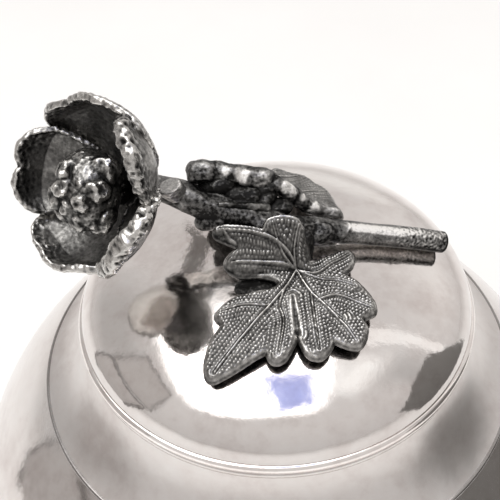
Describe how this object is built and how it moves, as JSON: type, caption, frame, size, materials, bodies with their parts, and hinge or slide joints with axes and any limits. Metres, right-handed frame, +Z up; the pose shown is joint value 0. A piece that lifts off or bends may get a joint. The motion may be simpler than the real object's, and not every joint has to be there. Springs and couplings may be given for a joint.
{
  "type": "covered sugar bowl",
  "caption": "Round covered sugar bowl with a low foot, a hollow-curved neck and a lift-off domed lid whose handle is a cast flower sprig with leaves.",
  "frame": {"origin": "centre of the circle that the foot stands on, on the bowl's axis", "axes": "+Z up along the bowl's axis; the sprig's stem runs along X with its flower at -X, and -Y is the side where the large leaf lies"},
  "size_m": [0.1246, 0.1246, 0.149],
  "materials": {
    "polished_silver": "mirror polish with fine handling scratches",
    "oxidised_silver": "cast, chased and darkened in the hollows, with bright rubbed edges",
    "fixing_brass": "plain turned"
  },
  "bodies": {
    "bowl": {"bowl_body": "polished_silver", "shoulder_line": "polished_silver", "neck": "polished_silver", "mouth_rim": "polished_silver", "foot": "polished_silver", "foot_wire": "polished_silver"},
    "lid_seat": {"lid_locating_collar": "polished_silver"},
    "lid": {"lid_dome": "polished_silver", "lid_flange": "polished_silver", "finial_boss": "oxidised_silver", "finial_stud": "fixing_brass", "finial_washer": "fixing_brass", "finial_nut": "fixing_brass", "stem": "oxidised_silver", "front_leaf": "oxidised_silver", "front_leaf_stalk": "oxidised_silver", "back_leaf": "oxidised_silver", "back_leaf_stalk": "oxidised_silver", "flower_receptacle": "oxidised_silver", "flower_pistil": "oxidised_silver", "flower_stamens": "oxidised_silver", "flower_petal_top": "oxidised_silver", "flower_petal_left": "oxidised_silver", "flower_petal_bottom": "oxidised_silver", "flower_petal_lower_right": "oxidised_silver", "flower_petal_upper_right": "oxidised_silver"}
  },
  "joints": [
    {"name": "lid_lift", "type": "slide", "parent": "bowl", "child": "lid_seat", "axis": [0, 0, 1], "range_m": [0, 0.08]},
    {"name": "lid_turn", "type": "hinge", "parent": "lid_seat", "child": "lid", "pos_m": [0, 0, 0.1022], "axis": [0, 0, 1], "continuous": true}
  ]
}
